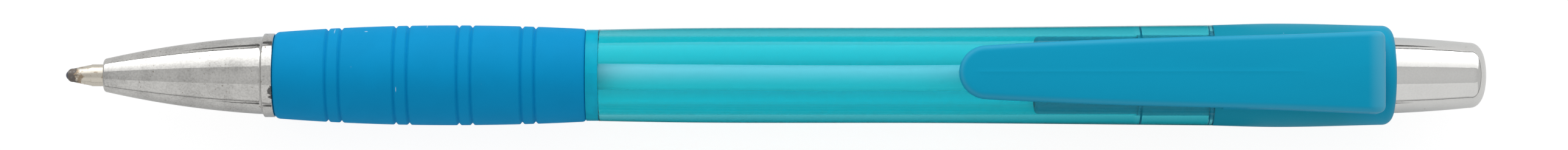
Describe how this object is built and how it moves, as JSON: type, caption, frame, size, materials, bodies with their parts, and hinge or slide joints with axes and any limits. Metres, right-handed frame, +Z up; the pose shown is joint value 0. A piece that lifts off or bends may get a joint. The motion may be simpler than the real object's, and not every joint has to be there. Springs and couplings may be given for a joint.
{
  "type": "retractable ballpoint pen",
  "caption": "Slim click ballpoint pen: chromed nose and push button, grooved rubber grip, tinted see-through barrel, moulded clip and collar, with cam latch, spring and refill inside.",
  "frame": {"origin": "on the surface the pen lies on, under its axis, midway along its length in the writing position", "axes": "+X along the pen from the writing tip to the push button, +Z up through the clip, +Y across"},
  "size_m": [0.1456, 0.0106, 0.0133],
  "materials": {
    "chrome_nose": "bright chrome plating on moulded plastic, lightly handled",
    "chrome_button": "bright chrome plating on moulded plastic",
    "grip_rubber": "matte blue rubber",
    "tinted_plastic": "glossy see-through aqua plastic",
    "cloudy_plastic": "satin cloudy aqua plastic",
    "clip_plastic": "satin opaque blue plastic",
    "latch_plastic": "white acetal",
    "refill_plastic": "milky polypropylene",
    "ink": "black ballpoint ink",
    "nib_metal": "turned nickel silver with dried ink near the ball",
    "ball_metal": "hard metal ball, inked",
    "spring_steel": "drawn spring wire"
  },
  "bodies": {
    "barrel": {"nose_cone": "chrome_nose", "grip_sleeve": "grip_rubber", "grip_barrel": "cloudy_plastic", "upper_barrel": "tinted_plastic", "clip_collar": "clip_plastic", "return_spring": "spring_steel"},
    "button": {"push_button": "chrome_button", "plunger": "latch_plastic"},
    "rotor": {"cam_rotor": "latch_plastic"},
    "refill": {"refill_tube": "refill_plastic", "ink_column": "ink", "nib": "nib_metal"},
    "ball": {"writing_ball": "ball_metal"}
  },
  "joints": [
    {"name": "button_slide", "type": "slide", "parent": "barrel", "child": "button", "axis": [1, 0, 0], "range_m": [-0.0015, 0.005], "stiffness_N_per_m": 300},
    {"name": "rotor_slide", "type": "slide", "parent": "barrel", "child": "rotor", "axis": [1, 0, 0], "range_m": [-0.0015, 0.005]},
    {"name": "refill_slide", "type": "slide", "parent": "barrel", "child": "refill", "axis": [1, 0, 0], "range_m": [-0.0015, 0.005], "deforming": ["return_spring"]},
    {"name": "ball_roll", "type": "hinge", "parent": "refill", "child": "ball", "pos_m": [-0.07235, 0, 0.00532], "axis": [0, 1, 0], "continuous": true}
  ],
  "couplings": [
    {"joint": "rotor_slide", "follows": "button_slide", "ratio": 1},
    {"joint": "refill_slide", "follows": "button_slide", "ratio": 1}
  ]
}
